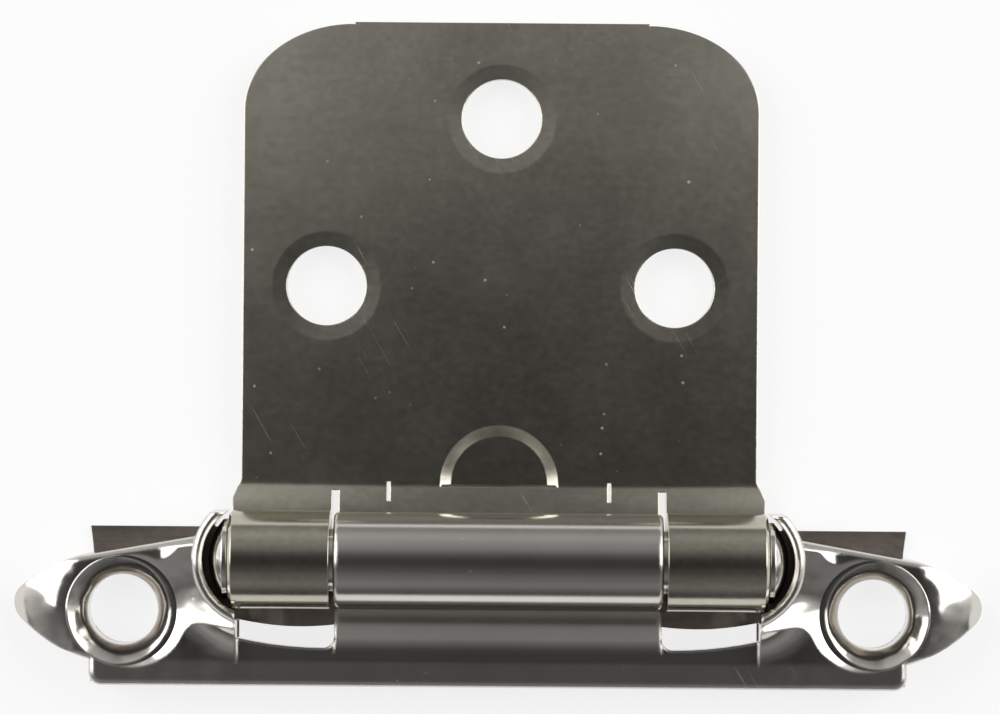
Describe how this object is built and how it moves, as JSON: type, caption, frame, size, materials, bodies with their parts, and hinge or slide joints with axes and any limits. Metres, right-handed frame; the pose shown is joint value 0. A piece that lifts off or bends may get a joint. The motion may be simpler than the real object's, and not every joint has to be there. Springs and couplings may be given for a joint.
{
  "type": "self-closing cabinet hinge",
  "caption": "Polished surface-mount self-closing cabinet hinge: a pointed frame leaf over a spring plate, a rolled barrel on a pin, and a flat door plate with dimpled screw holes.",
  "frame": {"origin": "midway between the two frame screw holes, on the cabinet face that the spring plate lies against", "axes": "+X along the hinge pin, +Y from the frame leaf towards the door plate, +Z out of the cabinet face towards the room"},
  "size_m": [0.0702, 0.0481, 0.008],
  "materials": {
    "leaf_plating": "polished nickel plating",
    "plate_plating": "bright nickel plating over rolled sheet",
    "pin_steel": "bright plated pin",
    "spring_steel": "plated spring steel"
  },
  "bodies": {
    "frame": {"frame_leaf": "leaf_plating", "closing_spring": "spring_steel", "hinge_pin": "pin_steel"},
    "door": {"door_plate": "plate_plating"}
  },
  "joints": [
    {"name": "door_swing", "type": "hinge", "parent": "frame", "child": "door", "pos_m": [0, 0.0038, 0.0045], "axis": [1, 0, 0], "range_deg": [0, 180], "stiffness_Nm_per_rad": 0.04, "springref_deg": -28.65, "deforming": ["closing_spring"]}
  ]
}
